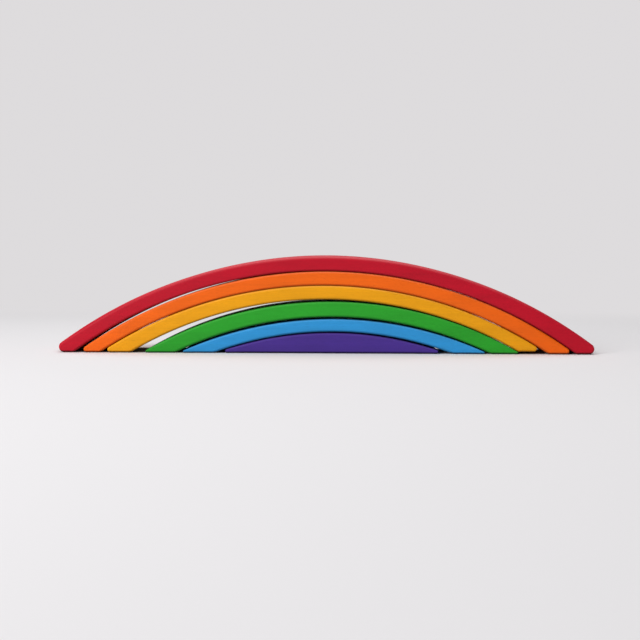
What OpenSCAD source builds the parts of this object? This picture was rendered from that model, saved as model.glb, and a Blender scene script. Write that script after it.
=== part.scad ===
// Rainbow stacker: five wooden arches and a solid middle piece, sawn from one block of wood
// and nested over each other on a table. Lengths are in millimetres and +Z is up. The origin
// is on the table, under the crown of the largest arch and halfway through its depth.

/* [Block] */
// Depth of every piece, from front to back
depth = 70; // [45:1:100]
// How far below the table the centre of the outermost curve lies
centre_depth = 373; // [340:1:410]
// How much higher the centre of each saw cut lies than that of the curve outside it
centre_step = 6.5; // [4:0.5:9]
// Clearance that is left where a piece is pushed up against its neighbour
rub_gap = 0.3; // [0.2:0.05:0.6]
// Radius sanded on the front and back edges of every curve
edge_radius = 2.5; // [0.5:0.25:3]
// Radius sanded under the front and back of every foot
foot_radius = 1; // [0.3:0.1:2]

/* [Red arch] */
// Thickness of the red arch at its crown
red_thick = 16; // [11:0.25:20]
// How far its inside curve lies to the right of its outside curve
red_drift = -1.75; // [-5:0.25:5]
// Radius of its two tips
red_tip = 5.75; // [1:0.25:7]
// Width of the sawn and sanded gap inside it
red_gap = 0.6; // [0.6:0.1:3]

/* [Orange arch] */
// Thickness of the orange arch at its crown
orange_thick = 14.75; // [11:0.25:20]
// How much deeper the centre of its outside curve lies than that of the cut round it
orange_sag = -4.5; // [-10:0.5:10]
// How far its inside curve lies to the right of its outside curve
orange_drift = -2.25; // [-5:0.25:5]
// Radius of its two tips
orange_tip = 3.25; // [1:0.25:6]
// Width of the sawn and sanded gap inside it
orange_gap = 1.8; // [0.6:0.1:3]
// Share of its free play by which it is pushed to the right, negative to the left
orange_push = 0.8; // [-1:0.05:1]

/* [Yellow arch] */
// Thickness of the yellow arch at its crown
yellow_thick = 14.75; // [11:0.25:20]
// How far its inside curve lies to the right of its outside curve
yellow_drift = 2; // [-5:0.25:5]
// Radius of its two tips
yellow_tip = 3; // [1:0.25:6]
// Width of the sawn and sanded gap inside it
yellow_gap = 0.9; // [0.6:0.1:3]
// Share of its free play by which it is pushed to the right, negative to the left
yellow_push = 0; // [-1:0.05:1]
// Share of the free height over its crown that is used up because its right foot is off the table
yellow_raise = 1; // [0:0.05:1]

/* [Green arch] */
// Thickness of the green arch at its crown
green_thick = 16.25; // [11:0.25:20]
// How much deeper the centre of its outside curve lies than that of the cut round it
green_sag = -8; // [-10:0.5:10]
// How far its inside curve lies to the right of its outside curve
green_drift = 1.25; // [-5:0.25:5]
// Radius of its two tips
green_tip = 1.5; // [1:0.25:5]
// Width of the sawn and sanded gap inside it
green_gap = 2.4; // [0.6:0.1:3]
// Share of its free play by which it is pushed to the right, negative to the left
green_push = 1; // [-1:0.05:1]

/* [Blue arch] */
// Thickness of the blue arch at its crown
blue_thick = 13.25; // [11:0.25:20]
// How much deeper the centre of its outside curve lies than that of the cut round it
blue_sag = 11; // [-10:0.5:15]
// How far its inside curve lies to the right of its outside curve
blue_drift = -0.75; // [-5:0.25:5]
// Radius of its two tips
blue_tip = 1.25; // [0.75:0.25:4]
// Width of the sawn and sanded gap inside it
blue_gap = 1.5; // [0.6:0.1:3]
// Share of its free play by which it is pushed to the right, negative to the left
blue_push = 0.4; // [-1:0.05:1]

/* [Purple segment] */
// Height of the purple segment at its crown
purple_height = 21.75; // [16:0.25:32]
// Radius of its two tips
purple_tip = 2; // [1:0.25:4]
// Share of its free play by which it is pushed to the right, negative to the left
purple_push = -0.45; // [-1:0.05:1]

/* [Hidden] */

// Stains
red_stain = "#b91c2e";
orange_stain = "#ea671d";
yellow_stain = "#e69e12";
green_stain = "#329e32";
blue_stain = "#3691d0";
purple_stain = "#4b3588";

// Depth below the table of the centre of each saw cut, inwards from the outside of the red arch
red_cut = centre_depth;
orange_cut = red_cut - centre_step;
yellow_cut = orange_cut - centre_step;
green_cut = yellow_cut - centre_step;
blue_cut = green_cut - centre_step;
purple_cut = blue_cut - centre_step;

// Depth of the centre of an outside curve that was sanded rounder or flatter than its cut
orange_centre = orange_cut + orange_sag;
green_centre = green_cut + green_sag;
blue_centre = blue_cut + blue_sag;

// Height over the table of each curve's crown, from the purple segment upwards
blue_inside = purple_height + blue_gap;
blue_top = blue_inside + blue_thick;
green_inside = blue_top + green_gap;
green_top = green_inside + green_thick;
yellow_inside = green_top + yellow_gap;
yellow_top = yellow_inside + yellow_thick;
orange_inside = yellow_top + orange_gap;
orange_top = orange_inside + orange_thick;
red_inside = orange_top + red_gap;
red_top = red_inside + red_thick;

// Angle at which a sanded edge meets the face beside it
blend_angle = 10;
// Share of a tip's radius that may be eased at its front and back
tip_ease = 0.6;
// Facets of a full turn, on the curves and on the sanded edges
curve_fn = 256;
edge_fn = 48;
// How far a cutting shape reaches past the wood
past = 5;
// How far out the sides of a wedge reach, as a multiple of the curve's radius
side_reach = 1.5;

// Radius of a curve from the height of its crown and the depth of its centre
function radius(height, centre) = height + centre;

// Angle from upright at which a curve comes down to the table
function foot_angle(height, centre) = acos(centre / radius(height, centre));

// Distance from the centre of a sanded edge to the faces that it blends
function inset(round) = round * cos(blend_angle);

// Distance from the middle of a curve to the centre of its rounded tip
function tip_x(height, centre, tip) =
    sqrt(pow(radius(height, centre) - inset(tip), 2) - pow(centre + inset(tip), 2));

// Gap at the feet of a piece whose curve sags from the cut, inside a neighbour raised over it
function foot_gap(angle, gap, raised, sag) = gap + raised * cos(angle) - sag * (1 - cos(angle));

// Free play sideways of a piece whose curve comes down at an angle
function play(angle, gap, raised = 0, sag = 0) =
    (foot_gap(angle, gap, raised, sag) - rub_gap) / sin(angle);

// How far the yellow arch's crown is lifted, and how far it leans on its left foot
yellow_lift = yellow_raise * (orange_gap - rub_gap);
yellow_lean = asin(yellow_lift / tip_x(yellow_top, yellow_cut, yellow_tip));

// Angle at which the outside curve of each piece comes down to the table
orange_angle = foot_angle(orange_top, orange_centre);
yellow_angle = foot_angle(yellow_top, yellow_cut);
green_angle = foot_angle(green_top, green_centre);
blue_angle = foot_angle(blue_top, blue_centre);
purple_angle = foot_angle(purple_height, purple_cut);

// Where the outside curve of each piece lies from left to right
orange_x = red_drift + orange_push * play(orange_angle, red_gap, 0, orange_sag);
yellow_x = orange_x + orange_drift + yellow_push * play(yellow_angle, orange_gap, -yellow_lift);
green_x = yellow_x + yellow_drift + green_push * play(green_angle, yellow_gap, yellow_lift, green_sag);
blue_x = green_x + green_drift + blue_push * play(blue_angle, green_gap, 0, blue_sag);
purple_x = blue_x + blue_drift + purple_push * play(purple_angle, blue_gap);

// Section of a disc from its axis to its rim, with both corners of the rim sanded round
module rim_section(rim) {
    half = depth / 2;
    in = inset(edge_radius);
    intersection() {
        translate([0, -half]) square([rim, depth]);
        union() {
            translate([0, -half]) square([rim - in, depth]);
            translate([0, in - half]) square([rim, depth - 2 * in]);
            for (side = [-1, 1])
                translate([rim - in, side * (half - in)]) circle(edge_radius, $fn = edge_fn);
        }
    }
}

// Section of the space inside a curve, flared at front and back where the wood is sanded
module hollow_section(rim) {
    half = depth / 2;
    in = inset(edge_radius);
    translate([0, -half - past]) square([rim, depth + 2 * past]);
    for (side = [0, 1])
        mirror([0, side])
            difference() {
                translate([0, half - in]) square([rim + in, in + past]);
                translate([rim + in, half - in]) circle(edge_radius, $fn = edge_fn);
            }
}

// Section of a rounded tip from its axis outwards, eased at front and back as far as it can be
module tip_section(tip) {
    half = depth / 2;
    round = min(edge_radius, tip_ease * tip);
    in = inset(round);
    intersection() {
        translate([0, -half - past]) square([tip, depth + 2 * past]);
        union() {
            translate([0, -half - past]) square([tip - in, depth + 2 * past]);
            translate([0, in - half]) square([tip, depth - 2 * in]);
            for (side = [-1, 1])
                translate([tip - in, side * (half - in)]) circle(round, $fn = edge_fn);
        }
    }
}

// Section across a foot, sanded round under its front and back edges
module foot_section(height) {
    in = inset(foot_radius);
    edge_y = depth / 2 - in;
    intersection() {
        translate([-depth, 0]) square([2 * depth, height + past]);
        union() {
            translate([-depth, in]) square([2 * depth, height + past]);
            translate([-edge_y, -in]) square([2 * edge_y, 2 * in]);
            for (side = [-1, 1])
                translate([side * edge_y, in]) circle(foot_radius, $fn = edge_fn);
        }
    }
}

// Space between the lines that run from the centre of a curve through its two tips
module wedge_outline(height, centre, tip) {
    in = inset(tip);
    end_x = tip_x(height, centre, tip);
    slope = atan2(end_x, centre + in);
    far = side_reach * radius(height, centre);
    far_x = far * sin(slope);
    far_z = far * cos(slope) - centre;
    polygon([
        [-end_x, -in], [end_x, -in], [end_x, in],
        [far_x, far_z], [-far_x, far_z], [-end_x, in]
    ]);
}

// Turns a section about an axis that runs from front to back
module turned() {
    rotate([90, 0, 0]) rotate_extrude($fn = curve_fn) children();
}

// Solid under a curve, standing on the table, with a round tip at each end
module segment(height, centre, tip) {
    intersection() {
        translate([0, 0, -centre])
            turned() rim_section(radius(height, centre));
        union() {
            rotate([90, 0, 0])
                linear_extrude(depth + 2 * past, center = true) wedge_outline(height, centre, tip);
            for (side = [-1, 1])
                translate([side * tip_x(height, centre, tip), 0, inset(tip)])
                    turned() tip_section(tip);
        }
        rotate([90, 0, 90])
            linear_extrude(2 * radius(height, centre), center = true) foot_section(height);
    }
}

// Arch between its own curve and the next saw cut inwards
module arch(height, centre, inside, cut, drift, tip) {
    difference() {
        segment(height, centre, tip);
        translate([drift, 0, -cut])
            turned() hollow_section(radius(inside, cut));
    }
}

module red_arch() {
    color(red_stain) arch(red_top, red_cut, red_inside, orange_cut, red_drift, red_tip);
}

module orange_arch() {
    color(orange_stain)
        translate([orange_x, 0, 0])
            arch(orange_top, orange_centre, orange_inside, yellow_cut, orange_drift, orange_tip);
}

// The yellow arch turns about the centre of its curve until only its left foot is down
module yellow_arch() {
    centre = [0, 0, -yellow_cut];
    color(yellow_stain)
        translate([yellow_x, 0, yellow_lift])
            translate(centre)
                rotate([0, -yellow_lean, 0])
                    translate(-centre)
                        arch(yellow_top, yellow_cut, yellow_inside, green_cut, yellow_drift, yellow_tip);
}

module green_arch() {
    color(green_stain)
        translate([green_x, 0, 0])
            arch(green_top, green_centre, green_inside, blue_cut, green_drift, green_tip);
}

module blue_arch() {
    color(blue_stain)
        translate([blue_x, 0, 0])
            arch(blue_top, blue_centre, blue_inside, purple_cut, blue_drift, blue_tip);
}

module purple_segment() {
    color(purple_stain)
        translate([purple_x, 0, 0]) segment(purple_height, purple_cut, purple_tip);
}

red_arch();
orange_arch();
yellow_arch();
green_arch();
blue_arch();
purple_segment();
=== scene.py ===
# Looks of the rainbow stacker: five stained wooden arches nested over a solid segment, on a pale floor.
# Lengths are in metres, +Z is up, and the front of the toy faces -Y.
import math

import bmesh
import bpy
import numpy as np
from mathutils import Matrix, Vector


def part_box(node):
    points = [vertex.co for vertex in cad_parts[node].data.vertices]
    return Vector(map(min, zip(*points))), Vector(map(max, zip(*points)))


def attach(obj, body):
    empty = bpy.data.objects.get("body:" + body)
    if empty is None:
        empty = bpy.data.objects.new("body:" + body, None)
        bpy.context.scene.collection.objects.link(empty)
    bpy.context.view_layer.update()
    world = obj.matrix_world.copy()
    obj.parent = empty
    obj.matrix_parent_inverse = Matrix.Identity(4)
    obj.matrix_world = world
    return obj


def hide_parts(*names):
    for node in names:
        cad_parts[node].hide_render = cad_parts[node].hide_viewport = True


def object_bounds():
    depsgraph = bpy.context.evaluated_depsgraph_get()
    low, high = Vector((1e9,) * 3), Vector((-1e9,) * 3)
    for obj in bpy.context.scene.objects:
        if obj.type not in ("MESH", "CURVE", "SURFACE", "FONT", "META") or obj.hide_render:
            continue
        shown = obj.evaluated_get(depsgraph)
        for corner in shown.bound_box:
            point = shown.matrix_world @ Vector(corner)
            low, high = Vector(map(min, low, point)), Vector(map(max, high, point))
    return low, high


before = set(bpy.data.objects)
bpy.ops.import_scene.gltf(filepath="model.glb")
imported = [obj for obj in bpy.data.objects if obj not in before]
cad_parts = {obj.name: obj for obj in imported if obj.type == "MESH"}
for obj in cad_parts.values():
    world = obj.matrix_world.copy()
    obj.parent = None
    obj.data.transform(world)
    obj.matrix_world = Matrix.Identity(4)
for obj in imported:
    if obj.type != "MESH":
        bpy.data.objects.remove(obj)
cad_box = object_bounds()

# The pieces: the radius that each one's tips and its outside edges are sanded to, its stain, and how
# much its painted sheen lifts the stain along the upper edges
PIECES = {
    "red_arch": {"tip": 0.00575, "rim": 0.0042, "stain": "#b90222", "painted_sheen_lift": 0.08},
    "orange_arch": {"tip": 0.00325, "rim": 0.0025, "stain": "#ee6404", "painted_sheen_lift": 0.06},
    "yellow_arch": {"tip": 0.003, "rim": 0.0025, "stain": "#ea9f03", "painted_sheen_lift": 0.05},
    "green_arch": {"tip": 0.0015, "rim": 0.0025, "stain": "#269d26", "painted_sheen_lift": 0.03},
    "blue_arch": {"tip": 0.00125, "rim": 0.0025, "stain": "#2c92d2", "painted_sheen_lift": 0.04},
    "purple_segment": {"tip": 0.002, "rim": 0.0025, "stain": "#452b87", "painted_sheen_lift": 0.015},
}

# Other sanded edges: along the inside curves and feet, and at the heels where these two meet
EDGE_RADIUS = 0.0025
HEEL_RADIUS = 0.001
# Share of a tip's radius that its front and back are eased by, and how soon the full edge follows
TIP_EASE = 0.6
TIP_BLEND = 0.016
# How far sanding leaves the curved faces proud halfway through their depth
CROWNING = 0.00014

# Fineness of the curves, the tips and the sanded edges
CURVE_STEPS = 240
TIP_STEPS = 8
FOOT_STEPS = 4
EDGE_STEPS = 4

# How exactly a corner has to lie on a curve to count as on it, and how near corners are one
ON_IT = 2e-5
SAME_CORNER = 1e-4
SAME_BEARING = 1e-4
# How straight a face has to look forwards, sideways or down to count as such
STRAIGHT = 0.999
# Feet are looked for below this height
FOOT_REACH = 0.009
SIDES = (-1, 1)

# Figure of the wood: sizes along X, Y and Z
MOTTLE_SIZE = (0.06, 0.03, 0.022)
BAND_SIZE = (0.35, 0.02, 0.007)
FIBRE_SIZE = (0.03, 0.0009, 0.0009)
PORE_SIZE = (0.006, 0.00045, 0.00045)
SAW_MARK_SIZE = (0.0012, 0.05, 0.004)
# Shares of the figure in the tone of the stain
TONE_SHARES = {"mottle": 0.4, "bands": 0.35, "fibre": 0.25}
# Noise values between which the figure goes from none to full, and those where pores start and end
FIGURE_RANGE = (0.3, 0.7)
PORE_RANGE = (0.62, 0.76)

# Tones of the stain and of its painted shade and sheen, as shares of its colour, and how strongly some of
# them show
DARK_TONE = 0.86
LIGHT_TONE = 1.14
PORE_TONE = 0.6
PORE_SHARE = 0.35
# Tone and largest share of the painted shade on surfaces that face down
UNDERSIDE_SHADE_TONE = 0.4
UNDERSIDE_SHADE_SHARE = 0.85
# Tone and largest share of the painted contact shadow along the feet
CONTACT_SHADOW_TONE = 0.06
CONTACT_SHADOW_SHARE = 0.9
# Paler tone for the painted sheen on the upper edges
PAINTED_SHEEN_TONE = 1.1
# Least painted sheen along an upper edge
PAINTED_SHEEN_LEAST = 0.7
# Matt finish, and the relief of the grain
ROUGHNESS = (0.5, 0.64)
SPECULAR = 0.22
RELIEF = 0.0004
RELIEF_STRENGTH = 0.25
RELIEF_SHARES = {"fibre": 0.6, "pore": -0.5, "saw": 0.8}

# How far from the crown the painted sheen on the upper edges reaches
PAINTED_SHEEN_REACH = 0.23
# Heights of the painted contact shadow along the feet: where it starts, and where it is full
CONTACT_SHADOW_TOP = 0.0026
CONTACT_SHADOW_FULL = 0.0008

# Camera, at the photograph's angle
IMAGE_SIDE = 640
FOCAL_PIXELS = 1270
SENSOR = 36
CAMERA_DISTANCE = 1.35
CAMERA_HEIGHT = 0.117
CAMERA_X = -0.0076
CAMERA_PITCH = 3.445
CAMERA_ROLL = -0.26

# Stage
FLOOR_SIDE = 30
FLOOR_DROP = 0.0001
FLOOR_COLOUR = (0.825, 0.81, 0.825, 1)
BACKDROP_COLOUR = (0.73, 0.713, 0.724, 1)
COVE_START = 0.38
COVE_END = 0.85
# Distance from the toy at which the floor is lost in the backdrop on every side
EDGE_START = 1.0
EDGE_END = 1.5

# Light
ROOM_LIGHT = 0.2
LAMPS = {
    "overhead_light": {"place": (0.05, 0.2, 1.5), "aim": (0.05, 0.15, 0), "size": (2.4, 2.6), "power": 23},
    "front_light": {"place": (-1.65, -1.6, 1.0), "aim": (0, 0, 0.05), "size": (1.4, 1.4), "power": 41.5},
}


def linear(hex_colour):
    """A colour written as on a screen, as the linear values that a shader takes."""
    shares = [int(hex_colour[i:i + 2], 16) / 255 for i in (1, 3, 5)]
    return tuple(s / 12.92 if s <= 0.04045 else ((s + 0.055) / 1.055) ** 2.4 for s in shares)


# Measuring the solids

def surface_corners(mesh, wanted):
    """Corners of the faces that are wanted, judged by their centre and normal."""
    chosen = {i for face in mesh.polygons if wanted(face.center, face.normal) for i in face.vertices}
    return np.array([mesh.vertices[i].co for i in sorted(chosen)], float)


def circle_through(corners, front):
    """Centre, set in the front plane, and radius of the curve that corners lie on."""
    x = corners[:, 0]
    z = corners[:, 2]
    rows = np.column_stack([2 * x, 2 * z, np.ones(len(x))])
    (middle_x, middle_z, rest), *_ = np.linalg.lstsq(rows, x * x + z * z, rcond=None)
    return Vector((middle_x, front, middle_z)), math.sqrt(rest + middle_x ** 2 + middle_z ** 2)


def measure(node):
    """A solid's outside and inside curve, the line that its feet lie on, and its front and back."""
    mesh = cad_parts[node].data
    low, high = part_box(node)
    upper_half = (low.z + high.z) / 2
    turned = 1 - STRAIGHT
    foot = surface_corners(mesh, lambda at, normal: normal.z < -STRAIGHT and at.z < FOOT_REACH)
    top = surface_corners(
        mesh, lambda at, normal: abs(normal.y) < turned and normal.z > turned and at.z > upper_half
    )
    under = surface_corners(
        mesh, lambda at, normal: abs(normal.y) < turned and normal.z < -turned and at.z > FOOT_REACH
    )
    slope, _ = np.polyfit(foot[:, 0], foot[:, 2], 1)
    along = Vector((1, 0, slope)).normalized()
    return {
        "outside": circle_through(top, low.y),
        "inside": circle_through(under, low.y) if len(under) else None,
        "foot": Vector((foot[:, 0].mean(), low.y, foot[:, 2].mean())),
        "along": along,
        "up": Vector((-along.z, 0, along.x)),
        "depth": high.y - low.y,
    }


def foot_end(curve, shape, tip, side):
    """Centre of a tip that lies against a curve and the foot line, on the left (-1) or right (1)."""
    centre, radius = curve
    height = (centre - shape["foot"]).dot(shape["up"])
    reach = math.sqrt((radius - tip) ** 2 - (tip - height) ** 2)
    return centre + shape["up"] * (tip - height) + shape["along"] * (side * reach)


def outline_marks(shape, tip):
    """Where the outline turns, left and right: the tips' centres, the toes under them and the heels."""
    tips = [foot_end(shape["outside"], shape, tip, side) for side in SIDES]
    toes = [centre - shape["up"] * tip for centre in tips]
    heels = tips
    if shape["inside"]:
        heels = [foot_end(shape["inside"], shape, 0, side) for side in SIDES]
    return {"tips": tips, "toes": toes, "heels": heels, "radius": tip}


# Drawing an outline in the front plane with one corner as the pen

def pen_down(name, point):
    """Starts a piece as a small plane that is merged to one corner."""
    bpy.ops.object.select_all(action="DESELECT")
    bpy.ops.mesh.primitive_plane_add(size=EDGE_RADIUS, location=point)
    bpy.ops.object.transform_apply(location=True, rotation=True, scale=True)
    piece = bpy.context.object
    piece.name = name
    piece.data.name = name
    bpy.ops.object.mode_set(mode="EDIT")
    bpy.ops.mesh.select_mode(type="VERT")
    bpy.ops.mesh.select_all(action="SELECT")
    bpy.ops.mesh.merge(type="CENTER")
    return piece


def draw_line(start, end, steps=1):
    """Carries the pen straight from one mark to another."""
    for _ in range(steps):
        bpy.ops.mesh.extrude_vertices_move(TRANSFORM_OT_translate={"value": (end - start) / steps})


def draw_arc(centre, turn, steps):
    """Carries the pen round a centre. A positive turn is anticlockwise, seen from the front."""
    bpy.ops.mesh.spin(steps=steps, angle=turn, center=centre, axis=(0, 1, 0))


def bearing(centre, point):
    """Direction from a centre to a point, anticlockwise from +X, seen from the front."""
    return math.atan2(point.z - centre.z, point.x - centre.x)


def draw_crown(shape, marks):
    """Draws from the left toe round the tip, over the outside curve and round the right tip."""
    centre, _ = shape["outside"]
    left, right = marks["tips"]
    down = bearing(left, marks["toes"][0])
    stops = [bearing(centre, point) for point in (left, *marks["heels"], right)]
    draw_arc(left, (stops[0] - down) % -math.tau, TIP_STEPS)
    for start, stop, steps in zip(stops, stops[1:], (FOOT_STEPS, CURVE_STEPS, FOOT_STEPS)):
        if stop != start:
            draw_arc(centre, stop - start, steps)
    draw_arc(right, (down - stops[-1]) % -math.tau, TIP_STEPS)


def join_corners():
    """Makes one corner of those that lie together."""
    bpy.ops.mesh.select_all(action="SELECT")
    bpy.ops.mesh.remove_doubles(threshold=SAME_CORNER)


def draw_arch(name, shape, marks):
    """Draws the outline of an arch, and gives the test for the lower side of its front."""
    under, under_radius = shape["inside"]
    left, right = marks["heels"]
    piece = pen_down(name, left)
    draw_line(left, marks["toes"][0], FOOT_STEPS)
    draw_crown(shape, marks)
    draw_line(marks["toes"][1], right, FOOT_STEPS)
    draw_arc(under, (bearing(under, left) - bearing(under, right)) % math.tau, CURVE_STEPS)
    join_corners()
    return piece, on_curve(under, under_radius)


def draw_segment(name, shape, marks):
    """Draws the outline of the solid segment, and gives the test for the lower side of its front."""
    left, right = marks["toes"]
    piece = pen_down(name, left)
    draw_crown(shape, marks)
    draw_line(right, left)
    join_corners()
    select_edges(piece, either(near(left), near(right)))
    bpy.ops.mesh.subdivide(number_cuts=CURVE_STEPS - 1)
    return piece, on_foot(shape)


# Choosing edges by their place

def near(point):
    """Test of whether a corner lies at a point."""
    return lambda corner: (corner - point).length < SAME_CORNER


def on_curve(centre, radius):
    """Test of whether a corner lies on a curve in the front plane."""
    return lambda corner: abs((corner - centre).length - radius) < ON_IT


def on_foot(shape):
    """Test of whether a corner lies on the line of the feet."""
    return lambda corner: abs((corner - shape["foot"]).dot(shape["up"])) < ON_IT


def beyond(centre, point, side):
    """Test of whether a corner lies on the line from a centre through a point, or past it on a side."""
    limit = side * bearing(centre, point) + SAME_BEARING
    return lambda corner: side * bearing(centre, corner) < limit


def all_of(*tests):
    """Test of whether a corner passes several tests."""
    return lambda corner: all(test(corner) for test in tests)


def either(*tests):
    """Test of whether a corner passes at least one of several tests."""
    return lambda corner: any(test(corner) for test in tests)


def select_corners(piece, wanted):
    """Selects the corners that are wanted, and nothing else."""
    bpy.ops.mesh.select_mode(type="VERT")
    bpy.ops.mesh.select_all(action="DESELECT")
    mesh = bmesh.from_edit_mesh(piece.data)
    for corner in mesh.verts:
        corner.select_set(wanted(corner.co))
    bmesh.update_edit_mesh(piece.data)


def select_edges(piece, wanted):
    """Selects the edges whose two corners are wanted, and nothing else."""
    bpy.ops.mesh.select_mode(type="EDGE")
    bpy.ops.mesh.select_all(action="DESELECT")
    mesh = bmesh.from_edit_mesh(piece.data)
    for edge in mesh.edges:
        edge.select_set(all(wanted(corner.co) for corner in edge.verts))
    bmesh.update_edit_mesh(piece.data)


# From outline to sanded block

def fill_front(piece, shape, marks, lower_side):
    """Fills the front: a band of faces under the outside curve, and one face over each foot."""
    centre, radius = shape["outside"]
    left, right = marks["heels"]
    band = all_of(on_curve(centre, radius), beyond(centre, left, 1), beyond(centre, right, -1))
    select_edges(piece, either(band, lower_side))
    bpy.ops.mesh.bridge_edge_loops()
    for heel, side in zip(marks["heels"], SIDES):
        select_edges(piece, beyond(centre, heel, side))
        bpy.ops.mesh.edge_face_add()


def make_block(depth):
    """Extrudes the front to the full depth of the wood, with a ring of corners halfway."""
    bpy.ops.mesh.select_all(action="SELECT")
    for _ in range(2):
        bpy.ops.mesh.extrude_region_move(TRANSFORM_OT_translate={"value": (0, depth / 2, 0)})
    bpy.ops.mesh.select_all(action="SELECT")
    bpy.ops.mesh.normals_make_consistent(inside=False)


def sanded_by(edge, shape, marks, rim):
    """Radius that an edge of the front or back outline is sanded to."""
    ends = [Vector((corner.co.x, shape["foot"].y, corner.co.z)) for corner in edge.verts]
    full = rim if all(map(on_curve(*shape["outside"]), ends)) else EDGE_RADIUS
    least = min(EDGE_RADIUS, TIP_EASE * marks["radius"])
    gap = min((end - tip).length for end in ends for tip in marks["tips"]) - marks["radius"]
    return least + (full - least) * min(1, max(0, gap) / TIP_BLEND)


def weigh_edges(piece, shape, marks, rim):
    """Notes on each edge how far it is sanded round, as a share of the largest radius."""
    mesh = bmesh.from_edit_mesh(piece.data)
    sanded = mesh.edges.layers.float.new("bevel_weight_edge")
    for edge in mesh.edges:
        first, second = (corner.co for corner in edge.verts)
        looks = sorted(abs(face.normal.y) for face in edge.link_faces)
        if looks[0] < 1 - STRAIGHT and looks[1] > STRAIGHT:
            edge[sanded] = sanded_by(edge, shape, marks, rim) / rim
        elif shape["inside"] and abs(second.y - first.y) > shape["depth"] / 4:
            flat = Vector((first.x, shape["foot"].y, first.z))
            if either(*map(near, marks["heels"]))(flat):
                edge[sanded] = HEEL_RADIUS / rim
    bmesh.update_edit_mesh(piece.data)


def crown_faces(piece, shape):
    """Fattens the curved faces a little halfway through their depth, and leaves the feet flat."""
    middle = shape["foot"].y + shape["depth"] / 2
    level = on_foot(shape)
    select_corners(piece, lambda corner: abs(corner.y - middle) < SAME_CORNER and not level(corner))
    bpy.ops.transform.shrink_fatten(value=CROWNING)


def apply_modifier(kind, **settings):
    """Adds a modifier to the piece at hand, sets it and applies it."""
    bpy.ops.object.modifier_add(type=kind)
    modifier = bpy.context.object.modifiers[-1]
    for name, value in settings.items():
        setattr(modifier, name, value)
    bpy.ops.object.modifier_apply(modifier=modifier.name)


def sand(rim):
    """Rounds the edges, and keeps the flat faces flat in the light."""
    bpy.ops.object.mode_set(mode="OBJECT")
    apply_modifier(
        "BEVEL", limit_method="WEIGHT", width=rim, segments=EDGE_STEPS, use_clamp_overlap=False
    )
    bpy.ops.object.shade_smooth()
    apply_modifier("WEIGHTED_NORMAL", keep_sharp=False)


def model_piece(node, tip, rim):
    """Models one piece of the toy round its solid."""
    shape = measure(node)
    marks = outline_marks(shape, tip)
    draw = draw_arch if shape["inside"] else draw_segment
    piece, lower_side = draw("stained_" + node, shape, marks)
    fill_front(piece, shape, marks, lower_side)
    make_block(shape["depth"])
    weigh_edges(piece, shape, marks, rim)
    crown_faces(piece, shape)
    sand(rim)
    return piece


# Materials

def add_node(tree, kind, inputs=None, **settings):
    """Adds a shader node, sets it, and sets or links its inputs."""
    made = tree.nodes.new(kind)
    for name, value in settings.items():
        setattr(made, name, value)
    for name, value in (inputs or {}).items():
        if isinstance(value, bpy.types.NodeSocket):
            tree.links.new(value, made.inputs[name])
        else:
            made.inputs[name].default_value = value
    return made


def reckon(tree, operation, *values):
    """Works out one number from others."""
    return add_node(tree, "ShaderNodeMath", dict(enumerate(values)), operation=operation).outputs[0]


def times(tree, *values):
    """Product of several numbers."""
    product, *others = values
    for value in others:
        product = reckon(tree, "MULTIPLY", product, value)
    return product


def plus(tree, *values):
    """Sum of several numbers."""
    total, *others = values
    for value in others:
        total = reckon(tree, "ADD", total, value)
    return total


def ramp(tree, value, start, end, low=0.0, high=1.0, kind="LINEAR"):
    """A number that goes from low to high while another goes from a start to an end."""
    return add_node(
        tree, "ShaderNodeMapRange",
        {"Value": value, "From Min": start, "From Max": end, "To Min": low, "To Max": high},
        interpolation_type=kind,
    ).outputs[0]


def own_place(tree):
    """Place on a piece, in the piece's own space."""
    return add_node(tree, "ShaderNodeTexCoord").outputs["Object"]


def split(tree, vector):
    """A vector's X, Y and Z."""
    return add_node(tree, "ShaderNodeSeparateXYZ", {0: vector}).outputs


def noise(tree, place, size, detail=2.0, distortion=0.0):
    """Noise with features of a size along X, Y and Z."""
    spread = add_node(tree, "ShaderNodeMapping", {"Vector": place, "Scale": [1 / s for s in size]})
    made = add_node(
        tree, "ShaderNodeTexNoise",
        {"Vector": spread.outputs[0], "Scale": 1, "Detail": detail, "Distortion": distortion},
    )
    return made.outputs["Fac"]


def mixed(tree, share, first, second):
    """A colour between two."""
    return add_node(tree, "ShaderNodeMix", {0: share, 6: first, 7: second}, data_type="RGBA").outputs[2]


def toned(colour, factor, lift=0):
    """A lighter or darker tone of a colour, or a paler one for the painted sheen."""
    return (*[min(1, c * factor + lift) for c in colour], 1)


def new_material(name):
    """An empty material, and its nodes."""
    material = bpy.data.materials.new(name)
    material.use_nodes = True
    material.node_tree.nodes.clear()
    return material, material.node_tree


def wood_figure(tree, place):
    """The figure of fine-grained wood with the grain along X."""
    return {
        "mottle": noise(tree, place, MOTTLE_SIZE, detail=3),
        "bands": noise(tree, place, BAND_SIZE, detail=3, distortion=0.4),
        "fibre": noise(tree, place, FIBRE_SIZE, detail=3),
        "pore": ramp(tree, noise(tree, place, PORE_SIZE, detail=1), *PORE_RANGE),
    }


def which_way(tree):
    """How far a surface looks to the front or back, up, and down, each as a share."""
    normal = split(tree, add_node(tree, "ShaderNodeNewGeometry").outputs["Normal"])
    return {
        "facing": reckon(tree, "ABSOLUTE", normal["Y"]),
        "up": reckon(tree, "MAXIMUM", normal["Z"], 0.0),
        "down": reckon(tree, "MAXIMUM", times(tree, normal["Z"], -1.0), 0.0),
    }


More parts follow.
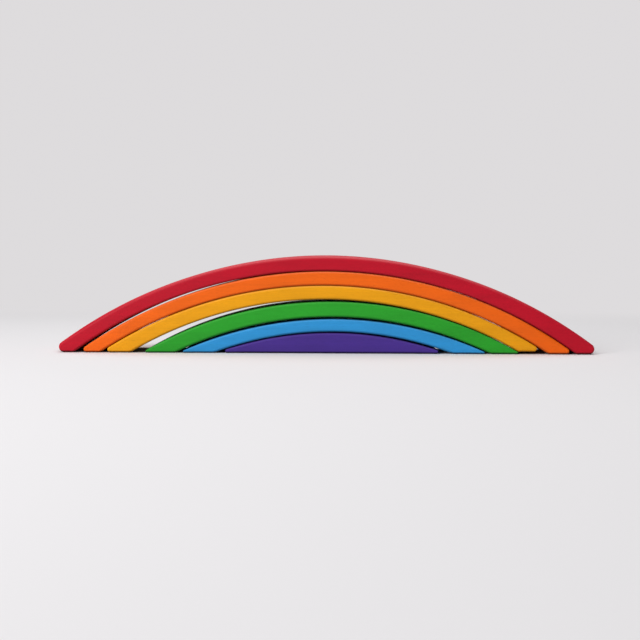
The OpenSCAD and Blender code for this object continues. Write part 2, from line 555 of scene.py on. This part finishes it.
def painted_sheen_share(tree, place, figure, looks):
    """Painted sheen: how much paler the stain is made along the upper edges, most near the crown."""
    square = times(tree, looks["facing"], looks["facing"])
    edge = times(tree, square, reckon(tree, "SUBTRACT", 4.0, times(tree, square, 4.0)))
    along = reckon(tree, "DIVIDE", split(tree, place)["X"], PAINTED_SHEEN_REACH)
    # The painted sheen fades away from the crown along X
    near_crown = reckon(tree, "MAXIMUM", reckon(tree, "SUBTRACT", 1.0, times(tree, along, along)), 0.0)
    patchy = plus(tree, PAINTED_SHEEN_LEAST, figure["mottle"])
    return reckon(tree, "MINIMUM", times(tree, edge, looks["up"], patchy, near_crown), 1.0)


def stain_colour(tree, base, painted_sheen_lift, place, figure, looks):
    """The stain: uneven and dark in the pores, with painted shade underneath and at the feet, and a
    painted sheen on the upper edges.
    """
    tone = plus(tree, *[times(tree, figure[name], share) for name, share in TONE_SHARES.items()])
    # Painted sheen: the upper edges are made paler, most near the crown
    painted_sheen = painted_sheen_share(tree, place, figure, looks)
    # Painted shade: darker where the surface faces down
    under = reckon(tree, "MINIMUM", looks["down"], UNDERSIDE_SHADE_SHARE)
    # Painted contact shadow: near black over the lowest few millimetres
    contact_shadow = ramp(tree, split(tree, place)["Z"], CONTACT_SHADOW_TOP, CONTACT_SHADOW_FULL, high=CONTACT_SHADOW_SHARE)
    tone = ramp(tree, tone, *FIGURE_RANGE)
    colour = mixed(tree, tone, toned(base, DARK_TONE), toned(base, LIGHT_TONE))
    colour = mixed(tree, times(tree, figure["pore"], PORE_SHARE), colour, toned(base, PORE_TONE))
    # Painted sheen on the upper edges
    colour = mixed(tree, painted_sheen, colour, toned(base, PAINTED_SHEEN_TONE, painted_sheen_lift))
    # Painted shade underneath
    colour = mixed(tree, under, colour, toned(base, UNDERSIDE_SHADE_TONE))
    # Painted contact shadow along the feet
    return mixed(tree, contact_shadow, colour, toned(base, CONTACT_SHADOW_TONE))


def wood_bump(tree, place, figure, looks):
    """Raised fibres, sunk pores, and faint saw marks on the curved faces."""
    cut = reckon(tree, "SUBTRACT", 1.0, looks["facing"])
    saw = times(tree, noise(tree, place, SAW_MARK_SIZE, detail=2), cut)
    raised = {"fibre": figure["fibre"], "pore": figure["pore"], "saw": saw}
    height = plus(tree, *[times(tree, raised[name], share) for name, share in RELIEF_SHARES.items()])
    bump = add_node(
        tree, "ShaderNodeBump", {"Strength": RELIEF_STRENGTH, "Distance": RELIEF, "Height": height}
    )
    return bump.outputs[0]


def stained_wood(name, stain, painted_sheen_lift):
    """Wood that is stained all over and sanded matt."""
    material, tree = new_material(name)
    place = own_place(tree)
    figure = wood_figure(tree, place)
    looks = which_way(tree)
    shader = add_node(
        tree, "ShaderNodeBsdfPrincipled",
        {
            "Base Color": stain_colour(tree, linear(stain), painted_sheen_lift, place, figure, looks),
            "Roughness": ramp(tree, figure["mottle"], *FIGURE_RANGE, *ROUGHNESS),
            "Specular IOR Level": SPECULAR,
            "Normal": wood_bump(tree, place, figure, looks),
        },
    )
    add_node(tree, "ShaderNodeOutputMaterial", {"Surface": shader.outputs[0]})
    return material


def seen_directly(tree):
    """1 for what the camera sees directly or through gloss or glass, 0 for other light."""
    path = add_node(tree, "ShaderNodeLightPath").outputs
    seen = reckon(tree, "MAXIMUM", path["Is Camera Ray"], path["Is Glossy Ray"])
    return reckon(tree, "MAXIMUM", seen, path["Is Transmission Ray"])


def floor_material():
    """Matt white paper that turns into the backdrop behind the toy, and far off on every side."""
    material, tree = new_material("pale_floor")
    place = own_place(tree)
    away = add_node(tree, "ShaderNodeVectorMath", {0: place}, operation="LENGTH").outputs["Value"]
    cove = ramp(tree, split(tree, place)["Y"], COVE_START, COVE_END, kind="SMOOTHSTEP")
    edge = ramp(tree, away, EDGE_START, EDGE_END, kind="SMOOTHSTEP")
    fade = reckon(tree, "MAXIMUM", cove, edge)
    paper = add_node(
        tree, "ShaderNodeBsdfPrincipled",
        {"Base Color": FLOOR_COLOUR, "Roughness": 0.9, "Specular IOR Level": 0.0},
    )
    backdrop = add_node(tree, "ShaderNodeEmission", {"Color": BACKDROP_COLOUR, "Strength": 1.0})
    share = reckon(tree, "MULTIPLY", fade, seen_directly(tree))
    both = add_node(
        tree, "ShaderNodeMixShader", {0: share, 1: paper.outputs[0], 2: backdrop.outputs[0]}
    )
    add_node(tree, "ShaderNodeOutputMaterial", {"Surface": both.outputs[0]})
    return material


# Stage, light and camera

def lay_floor():
    """A wide plain floor under the feet."""
    bpy.ops.object.select_all(action="DESELECT")
    bpy.ops.mesh.primitive_plane_add(size=FLOOR_SIDE, location=(0, 0, -FLOOR_DROP))
    bpy.ops.object.transform_apply(location=True, rotation=True, scale=True)
    floor = bpy.context.object
    floor.name = "floor"
    floor.data.materials.append(floor_material())


def light_room():
    """Even light from all round, with the backdrop's colour where the camera sees past the floor."""
    world = bpy.data.worlds.new("studio")
    world.use_nodes = True
    tree = world.node_tree
    tree.nodes.clear()
    ambient = add_node(tree, "ShaderNodeBackground", {"Color": (1, 1, 1, 1), "Strength": ROOM_LIGHT})
    backdrop = add_node(tree, "ShaderNodeBackground", {"Color": BACKDROP_COLOUR, "Strength": 1.0})
    both = add_node(
        tree, "ShaderNodeMixShader",
        {0: seen_directly(tree), 1: ambient.outputs[0], 2: backdrop.outputs[0]},
    )
    add_node(tree, "ShaderNodeOutputWorld", {"Surface": both.outputs[0]})
    bpy.context.scene.world = world


def hang_lamps():
    """Large soft lamps: one over the toy, and one in front of it to the left."""
    for name, lamp in LAMPS.items():
        bpy.ops.object.light_add(type="AREA", location=lamp["place"])
        made = bpy.context.object
        made.name = name
        made.data.shape = "RECTANGLE"
        made.data.size, made.data.size_y = lamp["size"]
        made.data.energy = lamp["power"]
        made.rotation_euler = (Vector(lamp["aim"]) - made.location).to_track_quat("-Z", "Y").to_euler()


def set_camera():
    """The camera, a little above the toy and square to its front."""
    bpy.ops.object.camera_add()
    camera = bpy.context.object
    camera.name = "camera"
    camera.data.sensor_width = SENSOR
    camera.data.lens = FOCAL_PIXELS / IMAGE_SIDE * SENSOR
    camera.location = (CAMERA_X, cad_box[0].y - CAMERA_DISTANCE, CAMERA_HEIGHT)
    camera.rotation_euler = (math.radians(90 - CAMERA_PITCH), math.radians(CAMERA_ROLL), 0)
    bpy.context.scene.camera = camera


for node, made in PIECES.items():
    colour = node.split("_")[0]
    piece = model_piece(node, made["tip"], made["rim"])
    piece.data.materials.append(stained_wood(colour + "_stain", made["stain"], made["painted_sheen_lift"]))
    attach(piece, colour)
    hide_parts(node)

set_camera()
lay_floor()
light_room()
hang_lamps()
bpy.context.scene.view_settings.view_transform = "Standard"
